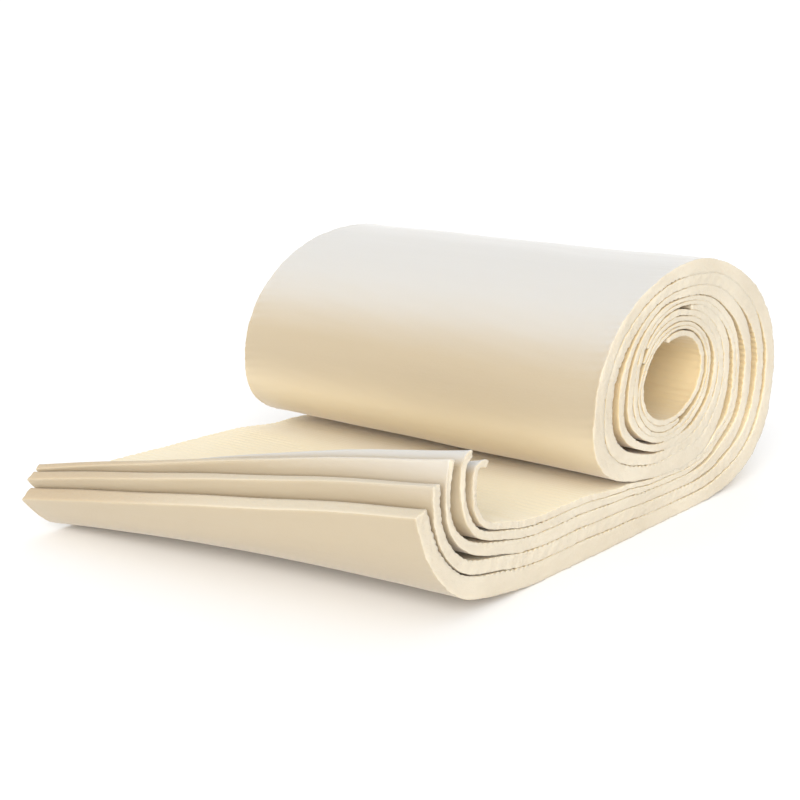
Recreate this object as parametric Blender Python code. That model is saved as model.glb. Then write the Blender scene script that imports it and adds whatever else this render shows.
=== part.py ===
"""Roll of felt: five cream felt strips, cut alike, laid in a stack and rolled up together.

X runs along the roll and +Z is up.  The strips lie flat on the ground as a tongue, their free
front edges point to -Y and curl upwards, and at the back they rise, go over and wind inwards.
The origin is on the ground, under the middle of the whole bundle's box.
Lengths in the tables are millimetres.
"""
import math
from collections import namedtuple

import bmesh
import bpy

MM = 0.001
STRIP_WIDTH = 150.0           # every strip, along the roll
STEPS_PER_TURN = 36           # flats that stand for one turn of the winding
CURL_STEPS = 2                # flats between two rows of the curl
LIP_STEPS = 3                 # flats round a bent lip
WIDTH_STATIONS = (0.0, 0.25, 0.5, 0.75, 1.0)   # sections across the width, right end to left end

# Where the outer face of the winding is lowest, furthest back, highest and furthest forward,
# turn after turn.  Squareness is the power of the rounded quarter that follows: 2 is an ellipse.
Extreme = namedtuple("Extreme", "name y z squareness")
WINDING = (
    Extreme("under", 123.1, 0.0, 2.9),
    Extreme("back", 196.7, 43.3, 1.8),
    Extreme("top", 124.9, 89.2, 2.05),
    Extreme("front", 60.2, 45.0, 2.8),
    Extreme("under_2", 123.1, 17.6, 2.3),
    Extreme("back_2", 155.9, 47.3, 2.0),
    Extreme("top_2", 118.6, 74.2, 2.4),
    Extreme("front_2", 88.3, 49.1, 2.0),
    Extreme("under_3", 108.8, 32.7, 2.0),
    Extreme("back_3", 136.1, 50.8, 2.0),
    Extreme("top_3", 115.1, 66.5, 2.0),
    Extreme("front_3", 92.2, 49.5, 2.0),
    Extreme("under_4", 110.6, 36.7, 2.0),
    Extreme("back_4", 132.8, 51.7, 2.0),
    Extreme("top_4", 115.1, 64.4, 2.0),
    Extreme("front_4", 92.4, 49.5, 2.0),
)
QUARTERS = 4

# The stack from its outer face inwards: strip, gap, strip, gap and so on, and the gap to the
# next turn.  "at" is in turns from the lowest point of the winding; below 0 it is on the flat
# tongue, down to -1 where the curl starts.  In the winding a row's sizes share out the room
# between one turn and the next.  Where a strip has ended, its size is the hollow it leaves.
Stack = namedtuple("Stack", "at strip_1 gap_1 strip_2 gap_2 strip_3 gap_3 strip_4 gap_4 strip_5 gap_5")
STACK = (
    Stack(-1.0, 6.7, 0.4, 4.1, 0.4, 4.1, 0.4, 2.8, 0.35, 2.2, 0.0),
    Stack(-0.67, 6.7, 0.35, 4.2, 0.4, 4.15, 0.35, 2.8, 0.35, 2.15, 0.0),
    Stack(-0.38, 6.0, 0.35, 4.15, 0.35, 3.85, 0.35, 2.1, 0.35, 1.6, 0.0),
    Stack(-0.2, 5.3, 0.35, 4.05, 0.35, 3.65, 0.35, 1.6, 0.35, 1.4, 0.0),
    Stack(0.0, 5.1, 0.35, 4.1, 0.35, 3.65, 0.35, 1.7, 0.35, 1.4, 0.35),
    Stack(0.125, 7.3, 1.6, 5.9, 2.1, 5.5, 2.7, 2.5, 0.35, 2.3, 1.1),
    Stack(0.19, 7.6, 2.4, 5.8, 3.6, 5.5, 3.9, 2.5, 0.35, 2.3, 4.6),
    Stack(0.25, 7.6, 2.9, 5.7, 5.0, 5.7, 5.0, 2.45, 0.45, 2.25, 3.6),
    Stack(0.375, 6.7, 1.3, 6.7, 1.5, 5.7, 1.9, 2.85, 0.5, 2.5, 0.5),
    Stack(0.5, 5.15, 0.4, 3.9, 0.4, 2.85, 0.4, 1.3, 0.4, 1.15, 0.4),
    Stack(0.625, 5.9, 0.5, 5.0, 0.7, 3.2, 0.9, 2.5, 0.35, 2.0, 0.4),
    Stack(0.75, 6.2, 0.6, 4.8, 4.1, 3.2, 2.9, 3.1, 0.4, 2.3, 0.5),
    Stack(0.875, 6.7, 0.5, 4.9, 2.0, 3.1, 2.0, 2.8, 0.4, 2.5, 0.45),
    Stack(1.0, 5.4, 0.35, 3.4, 0.35, 2.9, 0.35, 1.3, 0.35, 1.2, 0.35),
    Stack(1.125, 5.0, 0.45, 3.9, 0.45, 2.9, 2.0, 1.5, 0.35, 1.3, 0.5),
    Stack(1.25, 4.2, 0.6, 4.0, 0.7, 2.8, 3.0, 1.5, 0.35, 1.3, 1.1),
    Stack(1.375, 3.2, 0.5, 3.0, 0.6, 2.2, 1.1, 1.35, 0.45, 1.15, 0.5),
    Stack(1.46, 1.7, 0.5, 1.95, 0.55, 1.6, 0.55, 1.15, 0.45, 1.0, 0.5),
    Stack(1.54, 0.4, 0.0, 2.25, 0.5, 1.85, 0.5, 1.25, 0.4, 1.15, 0.4),
    Stack(1.667, 0.35, 0.0, 1.9, 0.35, 2.0, 0.35, 1.7, 0.35, 1.4, 0.35),
    Stack(1.71, 0.3, 0.0, 0.4, 0.0, 1.3, 0.35, 1.7, 0.35, 1.4, 0.35),
    Stack(1.75, 0.3, 0.0, 0.0, 0.0, 0.0, 0.0, 1.6, 0.35, 1.5, 0.35),
    Stack(2.0, 0.3, 0.0, 0.0, 0.0, 0.0, 0.0, 1.8, 0.35, 1.6, 0.0),
    Stack(2.083, 0.3, 0.0, 0.0, 0.0, 0.0, 0.0, 1.7, 0.35, 1.6, 0.0),
    Stack(2.25, 0.3, 0.0, 0.0, 0.0, 0.0, 0.0, 0.5, 0.0, 2.5, 0.0),
    Stack(2.58, 0.3, 0.0, 0.0, 0.0, 0.0, 0.0, 0.0, 0.0, 2.1, 0.0),
)

# The curl of the front edges.  A leading line runs up the outer face of the first strip; the
# rows are CURL_PITCH apart along it.  Tilt is its rise from level in degrees, at the right
# end, where the edges stand upright, and at the left end, where they lie more open.  The rest
# is each strip's thickness, and how far its middle stands inside the leading line.
CURL_PITCH = 11.0
Tilt = namedtuple("Tilt", "right left")
CURL_TILT = (
    Tilt(9.0, 0.0), Tilt(7.0, 0.0), Tilt(14.0, 0.0), Tilt(37.0, 0.0),
    Tilt(51.0, 8.0), Tilt(65.0, 42.0), Tilt(73.0, 53.0), Tilt(77.0, 55.0),
)
Five = namedtuple("Five", "strip_1 strip_2 strip_3 strip_4 strip_5")
THICKNESS_RIGHT = (
    Five(6.7, 4.1, 4.1, 2.8, 2.2), Five(6.9, 4.1, 3.9, 2.6, 2.1),
    Five(6.7, 4.0, 3.6, 2.4, 2.0), Five(5.9, 3.8, 3.2, 2.3, 1.9),
    Five(5.2, 3.5, 2.7, 2.2, 1.9), Five(5.0, 3.4, 2.4, 2.2, 1.9),
    Five(4.9, 3.4, 2.2, 2.2, 2.0), Five(4.9, 3.4, 2.2, 2.2, 2.0),
)
THICKNESS_LEFT = (
    Five(5.7, 3.5, 3.5, 2.4, 1.85), Five(5.8, 3.5, 3.4, 2.3, 1.8),
    Five(5.9, 3.5, 3.3, 2.2, 1.8), Five(5.6, 3.5, 3.0, 2.1, 1.8),
    Five(5.2, 3.5, 2.6, 2.0, 1.8), Five(5.0, 3.4, 2.3, 2.0, 1.8),
    Five(4.9, 3.4, 2.2, 2.0, 1.8), Five(4.9, 3.4, 2.2, 2.0, 1.8),
)
STANDOFF_RIGHT = (
    Five(3.35, 9.15, 13.65, 17.5, 20.35), Five(3.45, 9.6, 14.3, 18.1, 21.0),
    Five(3.35, 9.4, 14.7, 18.6, 21.7), Five(2.95, 8.4, 14.2, 19.0, 22.5),
    Five(2.6, 7.6, 12.6, 19.1, 23.9), Five(2.5, 7.8, 12.5, 20.4, 26.1),
    Five(2.45, 9.6, 15.0, 22.6, 29.2), Five(2.45, 13.0, 20.8, 26.0, 33.0),
)
STANDOFF_LEFT = (
    Five(2.85, 7.8, 11.6, 14.9, 17.3), Five(2.9, 7.95, 11.8, 15.1, 17.6),
    Five(2.95, 8.05, 11.9, 15.1, 17.6), Five(2.8, 8.0, 11.9, 15.1, 17.5),
    Five(2.6, 7.9, 11.8, 14.9, 17.4), Five(2.5, 7.7, 11.5, 14.5, 17.0),
    Five(2.45, 7.4, 11.1, 14.1, 16.5), Five(2.45, 7.2, 10.9, 13.9, 16.3),
)

# Each strip: how many rows of the curl it climbs at the right end, half way and at the left end,
# the lip bent back beyond that and its turn at each end, and the turn at which its inner end
# stops inside.
Strip = namedtuple("Strip", "name rows_right rows_middle rows_left lip turn_right turn_left inner_end")
STRIPS = (
    Strip("sheet_1", 5.91, 5.955, 6.0, 0.0, 0.0, 0.0, 53 / 36),
    Strip("sheet_2", 6.32, 6.32, 6.32, 0.0, 0.0, 0.0, 60 / 36),
    Strip("sheet_3", 6.69, 6.515, 6.34, 0.0, 0.0, 0.0, 61 / 36),
    Strip("sheet_4", 6.09, 5.48, 4.4, 6.5, 85.0, 60.0, 75 / 36),
    Strip("sheet_5", 5.44, 4.27, 3.1, 8.0, 130.0, 50.0, 93 / 36),
)
FELT_CREAM = (0.86, 0.79, 0.64, 1.0)
FELT_ROUGHNESS = 0.95
TONGUE_STATIONS = (-0.94, -0.88, -0.8, -0.67, -0.53, -0.38, -0.29, -0.2, -0.1)
TONGUE_LENGTH = 105.3         # from the start of the curl to the lowest point of the winding
RIGHT_LIFT = 1.3              # of the whole stack off the ground, where the right end's curl starts
LEFT_SQUASH = 0.85            # the tongue's thickness at the left end, beside the right end's
LEFT_FADE = 0.45              # turns ahead of the winding over which that thinness fades


def blend(low, high, share):
    return low + (high - low) * share


def winding_point(turns):
    """The outer face of the winding, turns on from its lowest point."""
    quarter = min(int(turns * QUARTERS + 1e-9), len(WINDING) - 2)
    start, end = WINDING[quarter], WINDING[quarter + 1]
    angle = (turns * QUARTERS - quarter) * math.pi / 2
    upright = quarter % 2 == 1                      # starts at the back or the front
    middle_y, middle_z = (end.y, start.z) if upright else (start.y, end.z)
    along_y, along_z = (math.cos(angle), math.sin(angle)) if upright else (math.sin(angle), math.cos(angle))
    half_y = (start.y - middle_y) if upright else (end.y - middle_y)
    half_z = (end.z - middle_z) if upright else (start.z - middle_z)
    power = start.squareness
    reach = (abs(along_y / half_y) ** power + abs(along_z / half_z) ** power) ** (-1 / power)
    return (middle_y + math.copysign(reach * along_y, half_y),
            middle_z + math.copysign(reach * along_z, half_z))


def stack_row(at):
    """The stack's sizes at one station, eased from row to row."""
    after = next((i for i, row in enumerate(STACK) if row.at > at), len(STACK) - 1)
    low, high = STACK[after - 1], STACK[after]
    share = min(max((at - low.at) / (high.at - low.at), 0.0), 1.0)
    share = share * share * (3 - 2 * share)
    return [blend(a, b, share) for a, b in zip(low[1:], high[1:])]


def stack_faces(at, leftness, strip):
    """Outer and inner face of a strip on the tongue or in the winding."""
    sizes = stack_row(at)
    outer = sum(sizes[:2 * strip])
    inner = outer + sizes[2 * strip]
    if at < 0:
        y = WINDING[0].y + at * TONGUE_LENGTH
        squash = blend(1.0, LEFT_SQUASH, leftness * min(-at / LEFT_FADE, 1.0))
        lift = RIGHT_LIFT * (1 - leftness) * max((-at - 0.88) / 0.12, 0.0)
        return (y, lift + outer * squash), (y, lift + inner * squash)
    near, far = winding_point(at), winding_point(at + 1)
    total = sum(sizes)
    return tuple(tuple(blend(a, b, depth / total) for a, b in zip(near, far)) for depth in (outer, inner))


def curl_value(rows, at):
    """A column of the curl's rows, at a place between two of them."""
    low = min(int(at), len(rows) - 2)
    return blend(rows[low], rows[low + 1], at - low)


def curl_size(right, left, at, leftness, strip):
    """One strip's size from a pair of tables, for this place up the curl and across it."""
    ends = [curl_value([row[strip] for row in table], at) for table in (right, left)]
    return blend(*ends, leftness)


def leading_line(at, leftness):
    """Point and tilt of the curl's leading line, at rows up from its start."""
    tilts = [math.radians(blend(row.right, row.left, leftness)) for row in CURL_TILT]
    y, z = WINDING[0].y - TONGUE_LENGTH, RIGHT_LIFT * (1 - leftness)
    steps = max(int(at * 10), 1)
    for i in range(steps):
        tilt = curl_value(tilts, at * (i + 0.5) / steps)
        y -= math.cos(tilt) * CURL_PITCH * at / steps
        z += math.sin(tilt) * CURL_PITCH * at / steps
    return y, z, curl_value(tilts, at)


def curl_middle(at, leftness, strip):
    y, z, tilt = leading_line(at, leftness)
    standoff = curl_size(STANDOFF_RIGHT, STANDOFF_LEFT, at, leftness, strip)
    return y + math.sin(tilt) * standoff, z + math.cos(tilt) * standoff


def rows_climbed(size, leftness):
    """How far up the curl a strip reaches, across its width: a smooth bend through three values."""
    straight = blend(size.rows_right, size.rows_left, leftness)
    swell = size.rows_middle - (size.rows_right + size.rows_left) / 2
    return straight + 4 * leftness * (1 - leftness) * swell


def faces_about(middle, tilt, thickness):
    """Outer and inner face of a strip that heads towards -Y at this tilt."""
    (y, z), half = middle, thickness / 2
    return ((y - math.sin(tilt) * half, z - math.cos(tilt) * half),
            (y + math.sin(tilt) * half, z + math.cos(tilt) * half))


def curl_faces(leftness, strip):
    """Stations of a strip's curl, from its front edge down to where it lies flat."""
    size = STRIPS[strip]
    rows_up = rows_climbed(size, leftness)
    count = round(size.rows_right * CURL_STEPS)
    stations = []
    for i in range(1, count + 1):
        at = rows_up * i / count
        y0, z0 = curl_middle(at - 0.1, leftness, strip)
        y1, z1 = curl_middle(at, leftness, strip)
        tilt = math.atan2(z1 - z0, y0 - y1)
        thickness = curl_size(THICKNESS_RIGHT, THICKNESS_LEFT, at, leftness, strip)
        stations.append(faces_about((y1, z1), tilt, thickness))
    (y, z), lip_step = (y1, z1), size.lip / LIP_STEPS
    for i in range(LIP_STEPS if size.lip else 0):
        turn = math.radians(blend(size.turn_right, size.turn_left, leftness)) / LIP_STEPS
        y -= math.cos(tilt + turn / 2) * lip_step
        z += math.sin(tilt + turn / 2) * lip_step
        tilt += turn
        stations.append(faces_about((y, z), tilt, thickness))
    return stations[::-1]


def strip_section(leftness, strip):
    """Every station of a strip from its front edge to its inner end."""
    wound = round(STRIPS[strip].inner_end * STEPS_PER_TURN)
    stations = curl_faces(leftness, strip)
    stations += [stack_faces(at, leftness, strip) for at in (-1.0,) + TONGUE_STATIONS]
    stations += [stack_faces(i / STEPS_PER_TURN, leftness, strip) for i in range(wound + 1)]
    return stations


def felt_material(name):
    material = bpy.data.materials.new(name)
    material.use_nodes = True
    shader = material.node_tree.nodes["Principled BSDF"]
    shader.inputs["Base Color"].default_value = FELT_CREAM
    shader.inputs["Roughness"].default_value = FELT_ROUGHNESS
    return material


def rolled_strip(strip, middle_y, collection):
    """A flat slab of felt, thickened, whose every corner is carried to its rolled place."""
    sections = [strip_section(leftness, strip) for leftness in WIDTH_STATIONS]
    across, along = len(sections) - 1, len(sections[0]) - 1
    slab = bmesh.new()
    bmesh.ops.create_grid(slab, x_segments=across, y_segments=along, size=0.5)
    thick = bmesh.ops.extrude_face_region(slab, geom=slab.faces[:], use_keep_orig=True)
    for vert in thick["geom"]:
        if isinstance(vert, bmesh.types.BMVert):
            vert.co.z = 1.0
    bmesh.ops.recalc_face_normals(slab, faces=slab.faces[:])
    for vert in slab.verts:
        column = round((0.5 - vert.co.x) * across)
        station = round((vert.co.y + 0.5) * along)
        y, z = sections[column][station][round(vert.co.z)]
        x = (0.5 - WIDTH_STATIONS[column]) * STRIP_WIDTH
        vert.co = (x * MM, (y - middle_y) * MM, z * MM)
    name = STRIPS[strip].name
    mesh = bpy.data.meshes.new(name)
    slab.to_mesh(mesh)
    slab.free()
    mesh.shade_smooth()
    mesh.set_sharp_from_angle(angle=math.radians(40))
    mesh.materials.append(felt_material(name + "_felt"))
    felt = bpy.data.objects.new(name, mesh)
    collection.objects.link(felt)


def bundle_middle():
    """Half way between the frontmost and the backmost point of the whole bundle."""
    reach = [face[0] for strip in range(len(STRIPS)) for leftness in WIDTH_STATIONS
             for station in strip_section(leftness, strip) for face in station]
    return (min(reach) + max(reach)) / 2


def main():
    for old in list(bpy.data.objects):
        bpy.data.objects.remove(old, do_unlink=True)
    collection = bpy.data.collections.new("roll_of_felt")
    bpy.context.scene.collection.children.link(collection)
    middle_y = bundle_middle()
    for strip in range(len(STRIPS)):
        rolled_strip(strip, middle_y, collection)


main()
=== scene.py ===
"""Looks of the roll of felt: five felt strips laid in a stack and rolled up together.

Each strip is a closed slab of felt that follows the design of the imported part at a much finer
step, with rounded cut edges, ribs pressed into its inner face and uneven ends.
"""
import math
from collections import namedtuple

import bpy
import numpy as np
from mathutils import Matrix, Vector

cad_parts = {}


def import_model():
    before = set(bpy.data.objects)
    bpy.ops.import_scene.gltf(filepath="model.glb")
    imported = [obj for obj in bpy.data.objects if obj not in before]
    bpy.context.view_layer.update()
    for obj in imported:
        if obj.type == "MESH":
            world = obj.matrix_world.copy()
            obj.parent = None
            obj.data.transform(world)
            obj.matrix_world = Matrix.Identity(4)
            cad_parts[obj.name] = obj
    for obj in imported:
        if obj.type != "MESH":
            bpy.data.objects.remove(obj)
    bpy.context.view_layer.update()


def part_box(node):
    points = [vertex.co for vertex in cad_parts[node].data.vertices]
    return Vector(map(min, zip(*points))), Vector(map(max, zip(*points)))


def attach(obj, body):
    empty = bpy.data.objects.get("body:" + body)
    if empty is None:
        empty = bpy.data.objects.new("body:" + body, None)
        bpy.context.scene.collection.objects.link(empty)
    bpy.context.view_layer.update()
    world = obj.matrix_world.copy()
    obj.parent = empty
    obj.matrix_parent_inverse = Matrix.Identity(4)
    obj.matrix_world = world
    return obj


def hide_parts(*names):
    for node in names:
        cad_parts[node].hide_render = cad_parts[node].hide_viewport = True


MM = 0.001
STRIP_WIDTH = 150.0

# Where the outer face of the winding is lowest, furthest back, highest and furthest forward,
# turn after turn.  Squareness is the power of the rounded quarter that follows: 2 is an ellipse.
Extreme = namedtuple("Extreme", "name y z squareness")
WINDING = (
    Extreme("under", 123.1, 0.0, 2.9),
    Extreme("back", 196.7, 43.3, 1.8),
    Extreme("top", 124.9, 89.2, 2.05),
    Extreme("front", 60.2, 45.0, 2.8),
    Extreme("under_2", 123.1, 17.6, 2.3),
    Extreme("back_2", 155.9, 47.3, 2.0),
    Extreme("top_2", 118.6, 74.2, 2.4),
    Extreme("front_2", 88.3, 49.1, 2.0),
    Extreme("under_3", 108.8, 32.7, 2.0),
    Extreme("back_3", 136.1, 50.8, 2.0),
    Extreme("top_3", 115.1, 66.5, 2.0),
    Extreme("front_3", 92.2, 49.5, 2.0),
    Extreme("under_4", 110.6, 36.7, 2.0),
    Extreme("back_4", 132.8, 51.7, 2.0),
    Extreme("top_4", 115.1, 64.4, 2.0),
    Extreme("front_4", 92.4, 49.5, 2.0),
)
QUARTERS = 4

# The stack from its outer face inwards: strip, gap, strip, gap and so on, and the gap to the
# next turn.  "at" is in turns from the lowest point of the winding; below 0 it is on the flat
# tongue, down to -1 where the curl starts.  In the winding a row's sizes share out the room
# between one turn and the next.  Where a strip has ended, its size is the hollow it leaves.
Stack = namedtuple("Stack", "at strip_1 gap_1 strip_2 gap_2 strip_3 gap_3 "
                            "strip_4 gap_4 strip_5 gap_5")
STACK = (
    Stack(-1.0, 6.7, 0.4, 4.1, 0.4, 4.1, 0.4, 2.8, 0.35, 2.2, 0.0),
    Stack(-0.67, 6.7, 0.35, 4.2, 0.4, 4.15, 0.35, 2.8, 0.35, 2.15, 0.0),
    Stack(-0.38, 6.0, 0.35, 4.15, 0.35, 3.85, 0.35, 2.1, 0.35, 1.6, 0.0),
    Stack(-0.2, 5.3, 0.35, 4.05, 0.35, 3.65, 0.35, 1.6, 0.35, 1.4, 0.0),
    Stack(0.0, 5.1, 0.35, 4.1, 0.35, 3.65, 0.35, 1.7, 0.35, 1.4, 0.35),
    Stack(0.125, 7.3, 1.6, 5.9, 2.1, 5.5, 2.7, 2.5, 0.35, 2.3, 1.1),
    Stack(0.19, 7.6, 2.4, 5.8, 3.6, 5.5, 3.9, 2.5, 0.35, 2.3, 4.6),
    Stack(0.25, 7.6, 2.9, 5.7, 5.0, 5.7, 5.0, 2.45, 0.45, 2.25, 3.6),
    Stack(0.375, 6.7, 1.3, 6.7, 1.5, 5.7, 1.9, 2.85, 0.5, 2.5, 0.5),
    Stack(0.5, 5.15, 0.4, 3.9, 0.4, 2.85, 0.4, 1.3, 0.4, 1.15, 0.4),
    Stack(0.625, 5.9, 0.5, 5.0, 0.7, 3.2, 0.9, 2.5, 0.35, 2.0, 0.4),
    Stack(0.75, 6.2, 0.6, 4.8, 4.1, 3.2, 2.9, 3.1, 0.4, 2.3, 0.5),
    Stack(0.875, 6.7, 0.5, 4.9, 2.0, 3.1, 2.0, 2.8, 0.4, 2.5, 0.45),
    Stack(1.0, 5.4, 0.35, 3.4, 0.35, 2.9, 0.35, 1.3, 0.35, 1.2, 0.35),
    Stack(1.125, 5.0, 0.45, 3.9, 0.45, 2.9, 2.0, 1.5, 0.35, 1.3, 0.5),
    Stack(1.25, 4.2, 0.6, 4.0, 0.7, 2.8, 3.0, 1.5, 0.35, 1.3, 1.1),
    Stack(1.375, 3.2, 0.5, 3.0, 0.6, 2.2, 1.1, 1.35, 0.45, 1.15, 0.5),
    Stack(1.46, 1.7, 0.5, 1.95, 0.55, 1.6, 0.55, 1.15, 0.45, 1.0, 0.5),
    Stack(1.54, 0.4, 0.0, 2.25, 0.5, 1.85, 0.5, 1.25, 0.4, 1.15, 0.4),
    Stack(1.667, 0.35, 0.0, 1.9, 0.35, 2.0, 0.35, 1.7, 0.35, 1.4, 0.35),
    Stack(1.71, 0.3, 0.0, 0.4, 0.0, 1.3, 0.35, 1.7, 0.35, 1.4, 0.35),
    Stack(1.75, 0.3, 0.0, 0.0, 0.0, 0.0, 0.0, 1.6, 0.35, 1.5, 0.35),
    Stack(2.0, 0.3, 0.0, 0.0, 0.0, 0.0, 0.0, 1.8, 0.35, 1.6, 0.0),
    Stack(2.083, 0.3, 0.0, 0.0, 0.0, 0.0, 0.0, 1.7, 0.35, 1.6, 0.0),
    Stack(2.25, 0.3, 0.0, 0.0, 0.0, 0.0, 0.0, 0.5, 0.0, 2.5, 0.0),
    Stack(2.58, 0.3, 0.0, 0.0, 0.0, 0.0, 0.0, 0.0, 0.0, 2.1, 0.0),
)

# The curl of the front edges.  A leading line runs up the outer face of the first strip; the
# rows are CURL_PITCH apart along it.  Tilt is its rise from level in degrees, at the right
# end, where the edges stand upright, and at the left end, where they lie more open.  The rest
# is each strip's thickness, and how far its middle stands inside the leading line.
CURL_PITCH = 11.0
Tilt = namedtuple("Tilt", "right left")
CURL_TILT = (
    Tilt(9.0, 0.0), Tilt(7.0, 0.0), Tilt(14.0, 0.0), Tilt(37.0, 0.0),
    Tilt(51.0, 8.0), Tilt(65.0, 42.0), Tilt(73.0, 53.0), Tilt(77.0, 55.0),
)
Five = namedtuple("Five", "strip_1 strip_2 strip_3 strip_4 strip_5")
THICKNESS_RIGHT = (
    Five(6.7, 4.1, 4.1, 2.8, 2.2), Five(6.9, 4.1, 3.9, 2.6, 2.1),
    Five(6.7, 4.0, 3.6, 2.4, 2.0), Five(5.9, 3.8, 3.2, 2.3, 1.9),
    Five(5.2, 3.5, 2.7, 2.2, 1.9), Five(5.0, 3.4, 2.4, 2.2, 1.9),
    Five(4.9, 3.4, 2.2, 2.2, 2.0), Five(4.9, 3.4, 2.2, 2.2, 2.0),
)
THICKNESS_LEFT = (
    Five(5.7, 3.5, 3.5, 2.4, 1.85), Five(5.8, 3.5, 3.4, 2.3, 1.8),
    Five(5.9, 3.5, 3.3, 2.2, 1.8), Five(5.6, 3.5, 3.0, 2.1, 1.8),
    Five(5.2, 3.5, 2.6, 2.0, 1.8), Five(5.0, 3.4, 2.3, 2.0, 1.8),
    Five(4.9, 3.4, 2.2, 2.0, 1.8), Five(4.9, 3.4, 2.2, 2.0, 1.8),
)
STANDOFF_RIGHT = (
    Five(3.35, 9.15, 13.65, 17.5, 20.35), Five(3.45, 9.6, 14.3, 18.1, 21.0),
    Five(3.35, 9.4, 14.7, 18.6, 21.7), Five(2.95, 8.4, 14.2, 19.0, 22.5),
    Five(2.6, 7.6, 12.6, 19.1, 23.9), Five(2.5, 7.8, 12.5, 20.4, 26.1),
    Five(2.45, 9.6, 15.0, 22.6, 29.2), Five(2.45, 13.0, 20.8, 26.0, 33.0),
)
STANDOFF_LEFT = (
    Five(2.85, 7.8, 11.6, 14.9, 17.3), Five(2.9, 7.95, 11.8, 15.1, 17.6),
    Five(2.95, 8.05, 11.9, 15.1, 17.6), Five(2.8, 8.0, 11.9, 15.1, 17.5),
    Five(2.6, 7.9, 11.8, 14.9, 17.4), Five(2.5, 7.7, 11.5, 14.5, 17.0),
    Five(2.45, 7.4, 11.1, 14.1, 16.5), Five(2.45, 7.2, 10.9, 13.9, 16.3),
)

# Each strip: how many rows of the curl it climbs at the right end, half way and at the left end,
# the lip bent back beyond that and its turn in degrees at each end, and the turn at which its
# inner end stops inside.
Strip = namedtuple("Strip", "name rows_right rows_middle rows_left lip "
                            "turn_right turn_left inner_end")
STRIPS = (
    Strip("sheet_1", 5.91, 5.955, 6.0, 0.0, 0.0, 0.0, 53 / 36),
    Strip("sheet_2", 6.32, 6.32, 6.32, 0.0, 0.0, 0.0, 60 / 36),
    Strip("sheet_3", 6.69, 6.515, 6.34, 0.0, 0.0, 0.0, 61 / 36),
    Strip("sheet_4", 6.09, 5.48, 4.4, 6.5, 85.0, 60.0, 75 / 36),
    Strip("sheet_5", 5.44, 4.27, 3.1, 8.0, 130.0, 50.0, 93 / 36),
)
TONGUE_LENGTH = 105.3         # from the start of the curl to the lowest point of the winding
RIGHT_LIFT = 1.3              # of the whole stack off the ground, where the right end's curl starts
LEFT_SQUASH = 0.85            # the tongue's thickness at the left end, beside the right end's
LEFT_FADE = 0.45              # turns ahead of the winding over which that thinness fades
LIFT_START = 0.88             # turns ahead of the winding where that lift starts
LIFT_FADE = 0.12              # turns it takes to come in full


def blend(low, high, share):
    return low + (high - low) * share


def winding_point(turns):
    """The outer face of the winding, turns on from its lowest point."""
    quarter = min(int(turns * QUARTERS + 1e-9), len(WINDING) - 2)
    start, end = WINDING[quarter], WINDING[quarter + 1]
    angle = (turns * QUARTERS - quarter) * math.pi / 2
    upright = quarter % 2 == 1                      # starts at the back or the front
    middle_y, middle_z = (end.y, start.z) if upright else (start.y, end.z)
    cosine, sine = math.cos(angle), math.sin(angle)
    along_y, along_z = (cosine, sine) if upright else (sine, cosine)
    half_y = (start.y - middle_y) if upright else (end.y - middle_y)
    half_z = (end.z - middle_z) if upright else (start.z - middle_z)
    power = start.squareness
    reach = (abs(along_y / half_y) ** power + abs(along_z / half_z) ** power) ** (-1 / power)
    return (middle_y + math.copysign(reach * along_y, half_y),
            middle_z + math.copysign(reach * along_z, half_z))


def stack_row(at):
    """The stack's sizes at one station, eased from row to row."""
    after = next((i for i, row in enumerate(STACK) if row.at > at), len(STACK) - 1)
    low, high = STACK[after - 1], STACK[after]
    share = min(max((at - low.at) / (high.at - low.at), 0.0), 1.0)
    share = share * share * (3 - 2 * share)
    return [blend(a, b, share) for a, b in zip(low[1:], high[1:])]


def stack_faces(at, leftness, strip):
    """Outer and inner face of a strip on the tongue or in the winding."""
    sizes = stack_row(at)
    outer = sum(sizes[:2 * strip])
    inner = outer + sizes[2 * strip]
    if at < 0:
        y = WINDING[0].y + at * TONGUE_LENGTH
        squash = blend(1.0, LEFT_SQUASH, leftness * min(-at / LEFT_FADE, 1.0))
        lift = RIGHT_LIFT * (1 - leftness) * max((-at - LIFT_START) / LIFT_FADE, 0.0)
        return (y, lift + outer * squash), (y, lift + inner * squash)
    near, far = winding_point(at), winding_point(at + 1)
    total = sum(sizes)
    return tuple(tuple(blend(a, b, depth / total) for a, b in zip(near, far))
                 for depth in (outer, inner))


def curl_value(rows, at):
    """A column of the curl's rows, at a place between two of them."""
    low = min(int(at), len(rows) - 2)
    return blend(rows[low], rows[low + 1], at - low)


def curl_size(right, left, at, leftness, strip):
    """One strip's size from a pair of tables, for this place up the curl and across it."""
    ends = [curl_value([row[strip] for row in table], at) for table in (right, left)]
    return blend(*ends, leftness)


def leading_line(at, leftness):
    """Point and tilt of the curl's leading line, at rows up from its start."""
    tilts = [math.radians(blend(row.right, row.left, leftness)) for row in CURL_TILT]
    y, z = WINDING[0].y - TONGUE_LENGTH, RIGHT_LIFT * (1 - leftness)
    steps = max(int(at * 10), 1)
    for i in range(steps):
        tilt = curl_value(tilts, at * (i + 0.5) / steps)
        y -= math.cos(tilt) * CURL_PITCH * at / steps
        z += math.sin(tilt) * CURL_PITCH * at / steps
    return y, z, curl_value(tilts, at)


def curl_middle(at, leftness, strip):
    y, z, tilt = leading_line(at, leftness)
    standoff = curl_size(STANDOFF_RIGHT, STANDOFF_LEFT, at, leftness, strip)
    return y + math.sin(tilt) * standoff, z + math.cos(tilt) * standoff


def rows_climbed(size, leftness):
    """How far up the curl a strip reaches, across its width: a bend through three values."""
    straight = blend(size.rows_right, size.rows_left, leftness)
    swell = size.rows_middle - (size.rows_right + size.rows_left) / 2
    return straight + 4 * leftness * (1 - leftness) * swell


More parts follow.
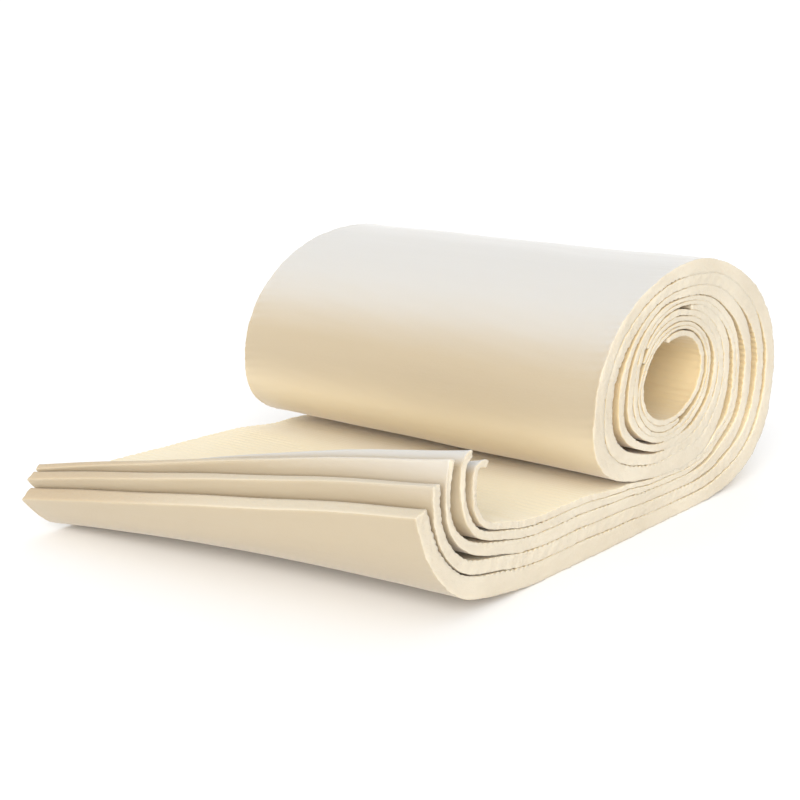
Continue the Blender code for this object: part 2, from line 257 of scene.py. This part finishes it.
def faces_about(middle, tilt, thickness):
    """Outer and inner face of a strip that heads towards -Y at this tilt."""
    (y, z), half = middle, thickness / 2
    return ((y - math.sin(tilt) * half, z - math.cos(tilt) * half),
            (y + math.sin(tilt) * half, z + math.cos(tilt) * half))


# ---------------------------------------------------------------- the felt's own fineness
CURL_FINE = 12                # samples between two rows of the curl
LIP_FINE = 16                 # samples round a lip
TONGUE_FINE = 110             # samples along the flat tongue
TURN_FINE = 180               # samples round one turn
STATION_PITCH = 0.52          # of the finished mesh along a strip
COLUMNS = tuple(i / 8 for i in range(9))    # sections worked out, from the right end to the left
# how far in from the nearer cut end the mesh's columns are, down to the middle of the strip
ACROSS = (0.0, 0.22, 0.5, 0.95, 1.7, 3.2, 6.5, 12.5, 20.0, 29.0, 38.5, 48.0, 57.0, 66.0, 75.0)
THROUGH = 6                   # cells through a strip's thickness
EDGE_RADIUS = 0.38            # of every cut edge
FLARE = 0.2                   # of the fibres at the cut ends, out into the gaps
FLARE_BAND = 1.6              # beside a cut end, where they flare
RAGGED_BAND = 6.0             # beside a cut end, where it is not quite true
RAGGED_MEAN = 0.28            # how far the cut ends stand back from square, on average
SMOOTH_CURL = 3.2             # how far kinks between the curl's rows are evened out
SMOOTH_ROLL = 0.9             # the same past the curl, where the shape turns tightly
SMOOTH_FADE = 25.0            # past the curl's start, where the one has turned to the other
SMOOTH_FADE_LENGTH = 15.0     # over which it turns
LIP_SMOOTH = 0.12             # of SMOOTH_CURL, left on a lip so it stays crisp
LIP_MARGIN = 2.0              # past a lip before that grows again
LIP_FADE = 10.0               # over which it grows
RIB_PITCH = 2.75              # of the ribs pressed into the inner faces
RIB_DEPTH = 0.34
RIB_FULL = 3.5                # a strip this thick or more has them at full depth
SWAY = 0.22                   # of the whole roll's surface, in and out, where it stands free
SWAY_START = 4.0              # height above the ground where the sway starts
SWAY_FULL = 25.0              # rise above that to full sway


def fine_faces(leftness, strip):
    """Outer and inner face of a strip at many stations from its front edge to its inner end."""
    size = STRIPS[strip]
    rows_up = rows_climbed(size, leftness)
    count = round(size.rows_right * CURL_FINE)
    stations = []
    for i in range(1, count + 1):
        at = rows_up * i / count
        y0, z0 = curl_middle(at - 0.1, leftness, strip)
        y1, z1 = curl_middle(at, leftness, strip)
        tilt = math.atan2(z1 - z0, y0 - y1)
        thickness = curl_size(THICKNESS_RIGHT, THICKNESS_LEFT, at, leftness, strip)
        stations.append(faces_about((y1, z1), tilt, thickness))
    (y, z), lip_step = (y1, z1), size.lip / LIP_FINE
    for i in range(LIP_FINE if size.lip else 0):
        turn = math.radians(blend(size.turn_right, size.turn_left, leftness)) / LIP_FINE
        y -= math.cos(tilt + turn / 2) * lip_step
        z += math.sin(tilt + turn / 2) * lip_step
        tilt += turn
        stations.append(faces_about((y, z), tilt, thickness))
    stations = stations[::-1]
    stations += [stack_faces(-1 + i / TONGUE_FINE, leftness, strip) for i in range(TONGUE_FINE)]
    wound = round(size.inner_end * TURN_FINE)
    stations += [stack_faces(i / TURN_FINE, leftness, strip) for i in range(wound + 1)]
    return np.array(stations)


def evened(rows, sigma):
    """Rows smoothed by a bell of this many rows, their two ends kept in place."""
    reach = int(3 * sigma.max()) + 1
    before = 2 * rows[:1] - rows[reach:0:-1]
    after = 2 * rows[-1:] - rows[-2:-reach - 2:-1]
    long = np.concatenate([before, rows, after])
    offsets = np.arange(-reach, reach + 1)
    weights = np.exp(-0.5 * (offsets[None, :] / sigma[:, None]) ** 2)
    weights /= weights.sum(1, keepdims=True)
    index = np.arange(len(rows))[:, None] + offsets[None, :] + reach
    return np.einsum("ij,ijk->ik", weights, long[index])


def section(leftness, strip, stations):
    """Middle line and thickness of a strip, evenly spaced and evened out."""
    faces = fine_faces(leftness, strip)
    middle = faces.mean(1)
    thick = np.linalg.norm(faces[:, 0] - faces[:, 1], axis=1)
    run = np.concatenate([[0.0], np.cumsum(np.linalg.norm(np.diff(middle, axis=0), axis=1))])
    even = np.linspace(0.0, run[-1], stations)
    rows = np.stack([np.interp(even, run, column) for column in (*middle.T, thick)], 1)
    size = STRIPS[strip]
    curl_end = rows_climbed(size, leftness) * CURL_PITCH + size.lip
    share = np.clip((curl_end + SMOOTH_FADE - even) / SMOOTH_FADE_LENGTH, 0.0, 1.0)
    lip = np.clip((even - size.lip - LIP_MARGIN) / LIP_FADE, LIP_SMOOTH if size.lip else 1.0, 1.0)
    sigma = blend(SMOOTH_ROLL, SMOOTH_CURL * lip, share) / (even[1] - even[0])
    return evened(rows, sigma), run[-1]


def waves(seed, lengths, *places):
    """A gentle seeded unevenness between about -1 and 1, made of waves of these lengths."""
    rng = np.random.default_rng(seed)
    total = 0.0
    for length in lengths:
        way = rng.normal(size=len(places))
        way /= np.linalg.norm(way)
        phase = rng.uniform(0, 2 * math.pi)
        turned = sum(w * p for w, p in zip(way, places)) * 2 * math.pi / length
        total = total + np.sin(turned + phase)
    return total / math.sqrt(len(lengths))


def lattice(across, along, through):
    """Places and quads of the skin of a box of cells, each point once."""
    number = -np.ones((across + 1, along + 1, through + 1), int)
    skin = np.zeros(number.shape, bool)
    skin[[0, -1]] = True
    skin[:, [0, -1]] = True
    skin[:, :, [0, -1]] = True
    places = np.argwhere(skin)
    number[tuple(places.T)] = np.arange(len(places))
    quads = []
    sides = ((number[0], False), (number[-1], True), (number[:, 0], True),
             (number[:, -1], False), (number[:, :, 0], False), (number[:, :, -1], True))
    for side, outward in sides:
        a, b, c, d = side[:-1, :-1], side[1:, :-1], side[1:, 1:], side[:-1, 1:]
        ring = (a, b, c, d) if outward else (a, d, c, b)
        quads.append(np.stack([corner.ravel() for corner in ring], 1))
    return places, quads


def rounded(place, low, high, radius):
    """Points on a box's skin, with its edges and corners rounded."""
    core = np.clip(place, low + radius, high - radius)
    away = place - core
    length = np.linalg.norm(away, axis=1, keepdims=True)
    return core + away / np.maximum(length, 1e-9) * radius


def felt_strip(strip, start_y):
    """One strip as a closed slab of felt, wound as designed, and its mean length."""
    name = STRIPS[strip].name + "_felt"
    length = section(0.5, strip, 400)[1]
    stations = int(length / STATION_PITCH) + 1
    worked = [section(leftness, strip, stations) for leftness in COLUMNS]
    lines = np.array([rows for rows, _ in worked])
    mean_length = float(np.mean([run for _, run in worked]))

    half = STRIP_WIDTH / 2
    inset = np.array(ACROSS)
    columns = np.concatenate([-half + inset, (half - inset[:-1])[::-1]])
    places, quads = lattice(len(columns) - 1, stations - 1, THROUGH)
    i, j, k = places.T

    # the middle line, thickness and direction of the strip at each point
    step = mean_length / (stations - 1)
    share = (0.5 - columns / STRIP_WIDTH)[i] * (len(COLUMNS) - 1)
    low = np.minimum(share.astype(int), len(COLUMNS) - 2)
    here = blend(lines[low, j], lines[low + 1, j], (share - low)[:, None])
    tangent_of = np.gradient(lines[:, :, :2], axis=1)
    tangent = blend(tangent_of[low, j], tangent_of[low + 1, j], (share - low)[:, None])
    tangent /= np.linalg.norm(tangent, axis=1, keepdims=True)
    normal = np.stack([-tangent[:, 1], tangent[:, 0]], 1)

    thick = here[:, 2]
    flat = np.stack([columns[i], j * step, (k / THROUGH - 0.5) * thick], 1)
    radius = np.minimum(EDGE_RADIUS, 0.42 * thick)[:, None]
    low_corner = np.stack([-half + 0 * thick, 0 * thick, -thick / 2], 1)
    high_corner = np.stack([half + 0 * thick, mean_length + 0 * thick, thick / 2], 1)
    shaped = rounded(flat, low_corner, high_corner, radius)

    # ribs across the inner face, deeper in some places than in others
    run, x = flat[:, 1], flat[:, 0]
    wander = run + 0.5 * waves(10 + strip, (40.0, 90.0), run, x)
    rib = 0.5 - 0.5 * np.cos(2 * math.pi * wander / RIB_PITCH)
    uneven = 0.7 + 0.5 * waves(20 + strip, (17.0, 31.0, 60.0), run, x)
    depth = RIB_DEPTH * np.clip(uneven, 0.15, 1.3)
    depth *= np.minimum(1.0, thick / RIB_FULL)
    inward = np.clip(shaped[:, 2] / (thick / 2), 0.0, 1.0) ** 3
    shaped[:, 2] -= depth * rib ** 2 * inward
    outward = np.clip(-shaped[:, 2] / (thick / 2), 0.0, 1.0) ** 3
    dimples = waves(30 + strip, (2.6, 4.1, 7.0, 12.0), run, x * 0.4)
    shaped[:, 2] += outward * (0.05 + 0.05 * dimples)

    # the fibres flare at the cut ends, here and there, and close the gaps between strips
    tip = np.clip((np.abs(x) - half + FLARE_BAND) / FLARE_BAND, 0.0, 1.0)
    tooth = 0.5 + 0.5 * np.sin(2 * math.pi * wander / RIB_PITCH + 1.0)
    patchy = 0.75 + 0.25 * tooth + 0.35 * waves(60 + strip, (5.0, 9.0, 16.0), run)
    flare = FLARE * tip * np.clip(patchy, 0.0, 1.1)
    shaped[:, 2] += flare * (inward - outward)

    # the cut ends are not quite true
    end = np.clip((np.abs(x) - half + RAGGED_BAND) / RAGGED_BAND, 0.0, 1.0) ** 2
    ragged = RAGGED_MEAN + 0.16 * waves(40 + strip, (6.0, 11.0, 23.0, 60.0), run, shaped[:, 2] * 3)
    fibres = 0.07 * waves(50 + strip, (1.3, 1.9, 2.9), run, shaped[:, 2])
    shaped[:, 0] -= np.sign(x) * end * np.maximum(ragged + fibres, 0.0)

    # carried to its place in the roll
    slide = (shaped[:, 1] - run)[:, None] * tangent
    yz = here[:, :2] + slide + normal * shaped[:, 2:]
    points = np.stack([shaped[:, 0], yz[:, 0], yz[:, 1]], 1)
    sway = waves(7, (70.0, 52.0, 95.0, 40.0), *points.T)
    lift = waves(8, (65.0, 48.0, 88.0), *points.T)
    free = np.clip((points[:, 2] - SWAY_START) / SWAY_FULL, 0.0, 1.0)
    points[:, 1] += SWAY * sway * free
    points[:, 2] += SWAY * lift * free
    points[:, 1] += start_y

    mesh = bpy.data.meshes.new(name)
    faces = np.concatenate(quads)
    mesh.vertices.add(len(points))
    mesh.vertices.foreach_set("co", (points * MM).astype(np.float32).ravel())
    mesh.loops.add(faces.size)
    mesh.loops.foreach_set("vertex_index", faces.astype(np.int32).ravel())
    mesh.polygons.add(len(faces))
    mesh.polygons.foreach_set("loop_start", np.arange(0, faces.size, 4, dtype=np.int32))
    mesh.polygons.foreach_set("use_smooth", np.ones(len(faces), bool))
    kinds = (CUT, CUT, EDGE, CUT, OUTER, INNER)
    slot = np.concatenate([np.full(len(side), kind) for side, kind in zip(quads, kinds)])
    outside = slot == OUTER
    # outer faces take the looks with painted highlight, bounce light or gap shade, by length from
    # the front edge
    for reach, kind in OUTER_LOOKS[STRIPS[strip].name]:
        slot[outside & (j[faces[:, 0]] * step < reach)] = kind
    mesh.polygons.foreach_set("material_index", slot.astype(np.int32))
    mesh.update(calc_edges=True)
    mesh.validate()
    piece = bpy.data.objects.new(name, mesh)
    bpy.context.scene.collection.objects.link(piece)
    return piece, mean_length


# ---------------------------------------------------------------- materials
# Dark and light are the two creams the colour drifts between, smooth and rough the ends of its
# roughness, glow its subsurface share, and streaks how both are drawn out along the axes.
# A bump's scale is per metre and its height in millimetres; a stretch below 1 draws the grain
# out along that axis.  A tint turns the colour to its own between start and end, along an axis
# of the place in metres or of the surface's normal.  Most tints paint light and shade: upward
# faces, high brims and high cut edges are painted paler as a painted highlight, downward faces
# of the roll lighter and yellower as painted bounce light, and the tongue's inner faces paler
# than the tan of the faces in the winding, which is painted shade of the gaps and core.  The
# cut edges' other tint makes them darker and tanner towards the left end.
Bump = namedtuple("Bump", "stretch scale height")
Tint = namedtuple("Tint", "by axis start end colour")
Look = namedtuple("Look", "name dark light smooth rough sheen glow streaks bumps tints")
EVEN = (1, 1, 1)
ALONG_ROLL = (0.12, 1, 1)
FIBRES = (Bump(EVEN, 900.0, 0.22), Bump(EVEN, 3200.0, 0.08))
PRESSED = (Bump(ALONG_ROLL, 420.0, 0.06), Bump(EVEN, 1300.0, 0.05))
RIBBED = (Bump((0.5, 1, 1), 700.0, 0.12), Bump(EVEN, 2600.0, 0.05))
CREAM = {"dark": (0.42, 0.345, 0.237), "light": (0.46, 0.382, 0.266), "smooth": 0.48,
         "rough": 0.66, "glow": 0.3, "streaks": ALONG_ROLL, "bumps": PRESSED}
LOOKS = (
    Look("felt_cut", (0.58, 0.505, 0.385), (0.68, 0.605, 0.475), 0.85, 1.0, 0.15, 0.3,
         EVEN, FIBRES, ()),
    # outer faces inside the winding: their tan is painted warm shade of the gaps between the turns
    Look("felt_outer_painted_gap_shade", (0.62, 0.49, 0.29), (0.68, 0.55, 0.34), 0.6, 0.8, 0.3, 0.3,
         ALONG_ROLL, PRESSED, ()),
    # inner faces: their tan is painted shade of the gaps and core in the winding, and the tint
    # paints them paler on the low tongue
    Look("felt_inner_painted_shade", (0.65, 0.515, 0.30), (0.71, 0.575, 0.35), 0.75, 0.95, 0.4, 0.3,
         (0.6, 1, 1), RIBBED, (Tint("place", "Z", 0.034, 0.021, (0.80, 0.69, 0.475)),)),
    # outside of the roll: one tint paints downward faces lighter and yellower as painted bounce
    # light, the other paints upward faces paler as a painted highlight
    Look("felt_painted_sheen_bounce", sheen=0.35, **CREAM,
         tints=(Tint("normal", "Z", 0.15, -0.35, (0.58, 0.49, 0.34)),
                Tint("normal", "Z", 0.3, 0.98, (0.555, 0.54, 0.51)))),
    # front brims: the tint paints them paler with height, a painted highlight
    Look("felt_brim_painted_sheen", sheen=0.25, **CREAM,
         tints=(Tint("place", "Z", 0.036, 0.056, (0.57, 0.55, 0.515)),)),
    # front cut edges: darker and tanner towards the left end, and painted paler with height, a
    # painted highlight
    Look("felt_edge_painted_sheen", (0.53, 0.46, 0.34), (0.59, 0.52, 0.40), 0.85, 1.0, 0.15, 0.3,
         ALONG_ROLL, FIBRES, (Tint("place", "X", 0.03, -0.06, (0.46, 0.365, 0.245)),
                              Tint("place", "Z", 0.038, 0.052, (0.60, 0.57, 0.53)))),
)
CUT, OUTER, INNER, PAINTED_SHEEN_BOUNCE, BRIM_PAINTED_SHEEN, EDGE = range(len(LOOKS))
GLOW_REACH = 3.0              # how far light spreads under the surface, in millimetres
GLOW_RADIUS = (1.0, 0.85, 0.65)             # red, green and blue's share of that reach
SHEEN_ROUGHNESS = 0.4
NOISE_LOW, NOISE_HIGH = 0.3, 0.7            # where a noise's dark and light ends are taken
DRIFT_SCALE, DRIFT_DETAIL = 30.0, 4.0       # of the colour's drift, per metre
SATIN_SCALE, SATIN_DETAIL = 55.0, 3.0       # of the roughness's drift
BUMP_DETAIL = 6.0
# Which look the outer faces have, up to a length from the front edge.  The looks seen outside
# the roll carry painted highlight and bounce light; the outer faces past them keep the tan that
# is painted shade of the gaps.
OUTER_LOOKS = {
    "sheet_1": ((475.0, PAINTED_SHEEN_BOUNCE), (60.0, BRIM_PAINTED_SHEEN)),
    "sheet_2": ((60.0, BRIM_PAINTED_SHEEN),),
    "sheet_3": ((60.0, BRIM_PAINTED_SHEEN),),
    "sheet_4": ((60.0, PAINTED_SHEEN_BOUNCE),),
    "sheet_5": ((60.0, PAINTED_SHEEN_BOUNCE),),
}


def node(tree, kind, **values):
    """A node with its inputs set by name, or by place for a number key such as _1."""
    made = tree.nodes.new(kind)
    for key, value in values.items():
        if key[0] == "_":
            made.inputs[int(key[1:])].default_value = value
        elif key in made.inputs:
            made.inputs[key].default_value = value
        else:
            setattr(made, key, value)
    return made


def stretched_noise(tree, stretch, scale, detail):
    """A noise in metres whose grain is drawn out along one or more axes."""
    place = tree.nodes.new("ShaderNodeTexCoord")
    mapping = node(tree, "ShaderNodeMapping", Scale=stretch)
    noise = node(tree, "ShaderNodeTexNoise", Scale=scale, Detail=detail)
    tree.links.new(place.outputs["Object"], mapping.inputs["Vector"])
    tree.links.new(mapping.outputs["Vector"], noise.inputs["Vector"])
    return noise.outputs["Fac"]


def tinted(tree, colour, tint):
    """The colour, turning to the tint's own along an axis of the place or of the normal."""
    if tint.by == "place":
        source = tree.nodes.new("ShaderNodeTexCoord").outputs["Object"]
    else:
        source = tree.nodes.new("ShaderNodeNewGeometry").outputs["Normal"]
    parts = tree.nodes.new("ShaderNodeSeparateXYZ")
    share = node(tree, "ShaderNodeMapRange", interpolation_type="SMOOTHSTEP",
                 _1=tint.start, _2=tint.end)
    mix = node(tree, "ShaderNodeMix", data_type="RGBA")
    mix.inputs["B"].default_value = (*tint.colour, 1)
    tree.links.new(source, parts.inputs["Vector"])
    tree.links.new(parts.outputs[tint.axis], share.inputs["Value"])
    tree.links.new(share.outputs["Result"], mix.inputs["Factor"])
    tree.links.new(colour, mix.inputs["A"])
    return mix.outputs["Result"]


def felt(look):
    """Felt whose colour drifts between two creams, with a bumpy surface that light enters."""
    material = bpy.data.materials.new(look.name)
    material.use_nodes = True
    tree = material.node_tree
    shader = tree.nodes["Principled BSDF"]
    shader.inputs["Sheen Weight"].default_value = look.sheen
    shader.inputs["Sheen Roughness"].default_value = SHEEN_ROUGHNESS
    shader.inputs["Subsurface Weight"].default_value = look.glow
    shader.inputs["Subsurface Radius"].default_value = GLOW_RADIUS
    shader.inputs["Subsurface Scale"].default_value = GLOW_REACH * MM
    drift = stretched_noise(tree, look.streaks, DRIFT_SCALE, DRIFT_DETAIL)
    ramp = tree.nodes.new("ShaderNodeValToRGB")
    ends = ((NOISE_LOW, look.dark), (NOISE_HIGH, look.light))
    for stop, (position, colour) in zip(ramp.color_ramp.elements, ends):
        stop.position, stop.color = position, (*colour, 1)
    tree.links.new(drift, ramp.inputs["Fac"])
    colour = ramp.outputs["Color"]
    for tint in look.tints:
        colour = tinted(tree, colour, tint)
    tree.links.new(colour, shader.inputs["Base Color"])
    satin = node(tree, "ShaderNodeMapRange", _1=NOISE_LOW, _2=NOISE_HIGH,
                 _3=look.smooth, _4=look.rough)
    grain = stretched_noise(tree, look.streaks, SATIN_SCALE, SATIN_DETAIL)
    tree.links.new(grain, satin.inputs["Value"])
    tree.links.new(satin.outputs["Result"], shader.inputs["Roughness"])
    normal = None
    for bump in look.bumps:
        made = node(tree, "ShaderNodeBump", Strength=1.0, Distance=bump.height * MM)
        height = stretched_noise(tree, bump.stretch, bump.scale, BUMP_DETAIL)
        tree.links.new(height, made.inputs["Height"])
        if normal is not None:
            tree.links.new(normal, made.inputs["Normal"])
        normal = made.outputs["Normal"]
    tree.links.new(normal, shader.inputs["Normal"])
    return material


# ---------------------------------------------------------------- stage, light and camera
CAMERA_PLACE = (0.29186, -0.39831, 0.15188)
CAMERA_AZIMUTH = 37.53
CAMERA_ELEVATION = 13.10
CAMERA_ROLL = -1.173
CAMERA_LENS = 64.9
CAMERA_SENSOR = 36.0
ROOM_LIGHT = 0.78             # the strength that lights the object
BACKDROP = 1.1                # the strength that the camera sees behind it, pure white
WHITE = (1.0, 1.0, 1.0, 1.0)
FLOOR_GREY = 0.96
FLOOR_REACH = 12.0
FLOOR_DROP = 0.0002           # below the felt, so that the two never share a plane


def photographer():
    """The camera, aimed by its azimuth, elevation and roll in degrees."""
    data = bpy.data.cameras.new("camera")
    data.sensor_width = CAMERA_SENSOR
    data.lens = CAMERA_LENS
    data.clip_start, data.clip_end = 0.01, 50.0
    azimuth, elevation = math.radians(CAMERA_AZIMUTH), math.radians(CAMERA_ELEVATION)
    level = math.cos(elevation)
    ahead = Vector((-math.sin(azimuth) * level, math.cos(azimuth) * level, -math.sin(elevation)))
    right = ahead.cross(Vector((0, 0, 1))).normalized()
    down = ahead.cross(right)
    roll = math.radians(CAMERA_ROLL)
    across = right * math.cos(roll) + down * math.sin(roll)
    below = down * math.cos(roll) - right * math.sin(roll)
    camera = bpy.data.objects.new("camera", data)
    turned = Matrix((across, -below, -ahead)).transposed()
    camera.matrix_world = Matrix.Translation(CAMERA_PLACE) @ turned.to_4x4()
    bpy.context.scene.collection.objects.link(camera)
    bpy.context.scene.camera = camera


def far_softbox(name, azimuth, elevation, spread, strength):
    """A wide soft light far away, seen from the object at this azimuth and elevation in degrees."""
    data = bpy.data.lights.new(name, "SUN")
    data.angle = math.radians(spread)
    data.energy = strength
    lamp = bpy.data.objects.new(name, data)
    lamp.rotation_euler = (math.radians(90 - elevation), 0.0, math.radians(azimuth))
    bpy.context.scene.collection.objects.link(lamp)


def studio():
    """A white room, a pale floor, one wide light from the front and a weak one from behind."""
    scene = bpy.context.scene
    world = bpy.data.worlds.new("studio")
    world.use_nodes = True
    tree = world.node_tree
    room = tree.nodes["Background"]
    room.inputs["Color"].default_value = WHITE
    room.inputs["Strength"].default_value = ROOM_LIGHT
    backdrop = node(tree, "ShaderNodeBackground", Color=WHITE, Strength=BACKDROP)
    choice = tree.nodes.new("ShaderNodeMixShader")
    path = tree.nodes.new("ShaderNodeLightPath")
    tree.links.new(path.outputs["Is Camera Ray"], choice.inputs[0])
    tree.links.new(room.outputs[0], choice.inputs[1])
    tree.links.new(backdrop.outputs[0], choice.inputs[2])
    tree.links.new(choice.outputs[0], tree.nodes["World Output"].inputs["Surface"])
    scene.world = world
    scene.view_settings.view_transform = "Standard"
    scene.cycles.diffuse_bounces = 12
    scene.cycles.max_bounces = 16
    far_softbox("front", 28.0, 20.0, 50.0, 3.1)
    far_softbox("behind", 205.0, 24.0, 50.0, 0.35)

    mesh = bpy.data.meshes.new("floor")
    far = FLOOR_REACH
    corners = [(-far, -far, 0), (far, -far, 0), (far, far, 0), (-far, far, 0)]
    mesh.from_pydata(corners, [], [(0, 1, 2, 3)])
    floor = bpy.data.objects.new("floor", mesh)
    floor.location.z = -FLOOR_DROP
    bpy.context.scene.collection.objects.link(floor)
    paint = bpy.data.materials.new("floor_white")
    paint.use_nodes = True
    shader = paint.node_tree.nodes["Principled BSDF"]
    shader.inputs["Base Color"].default_value = (FLOOR_GREY, FLOOR_GREY, FLOOR_GREY, 1.0)
    shader.inputs["Roughness"].default_value = 1.0
    shader.inputs["Specular IOR Level"].default_value = 0.0
    mesh.materials.append(paint)


def main():
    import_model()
    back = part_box("sheet_1")[1].y / MM
    start_y = back - max(extreme.y for extreme in WINDING)
    materials = [felt(look) for look in LOOKS]
    for strip, size in enumerate(STRIPS):
        piece, length = felt_strip(strip, start_y)
        for material in materials:
            piece.data.materials.append(material)
        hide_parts(size.name)
        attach(piece, "root")
    photographer()
    studio()


main()
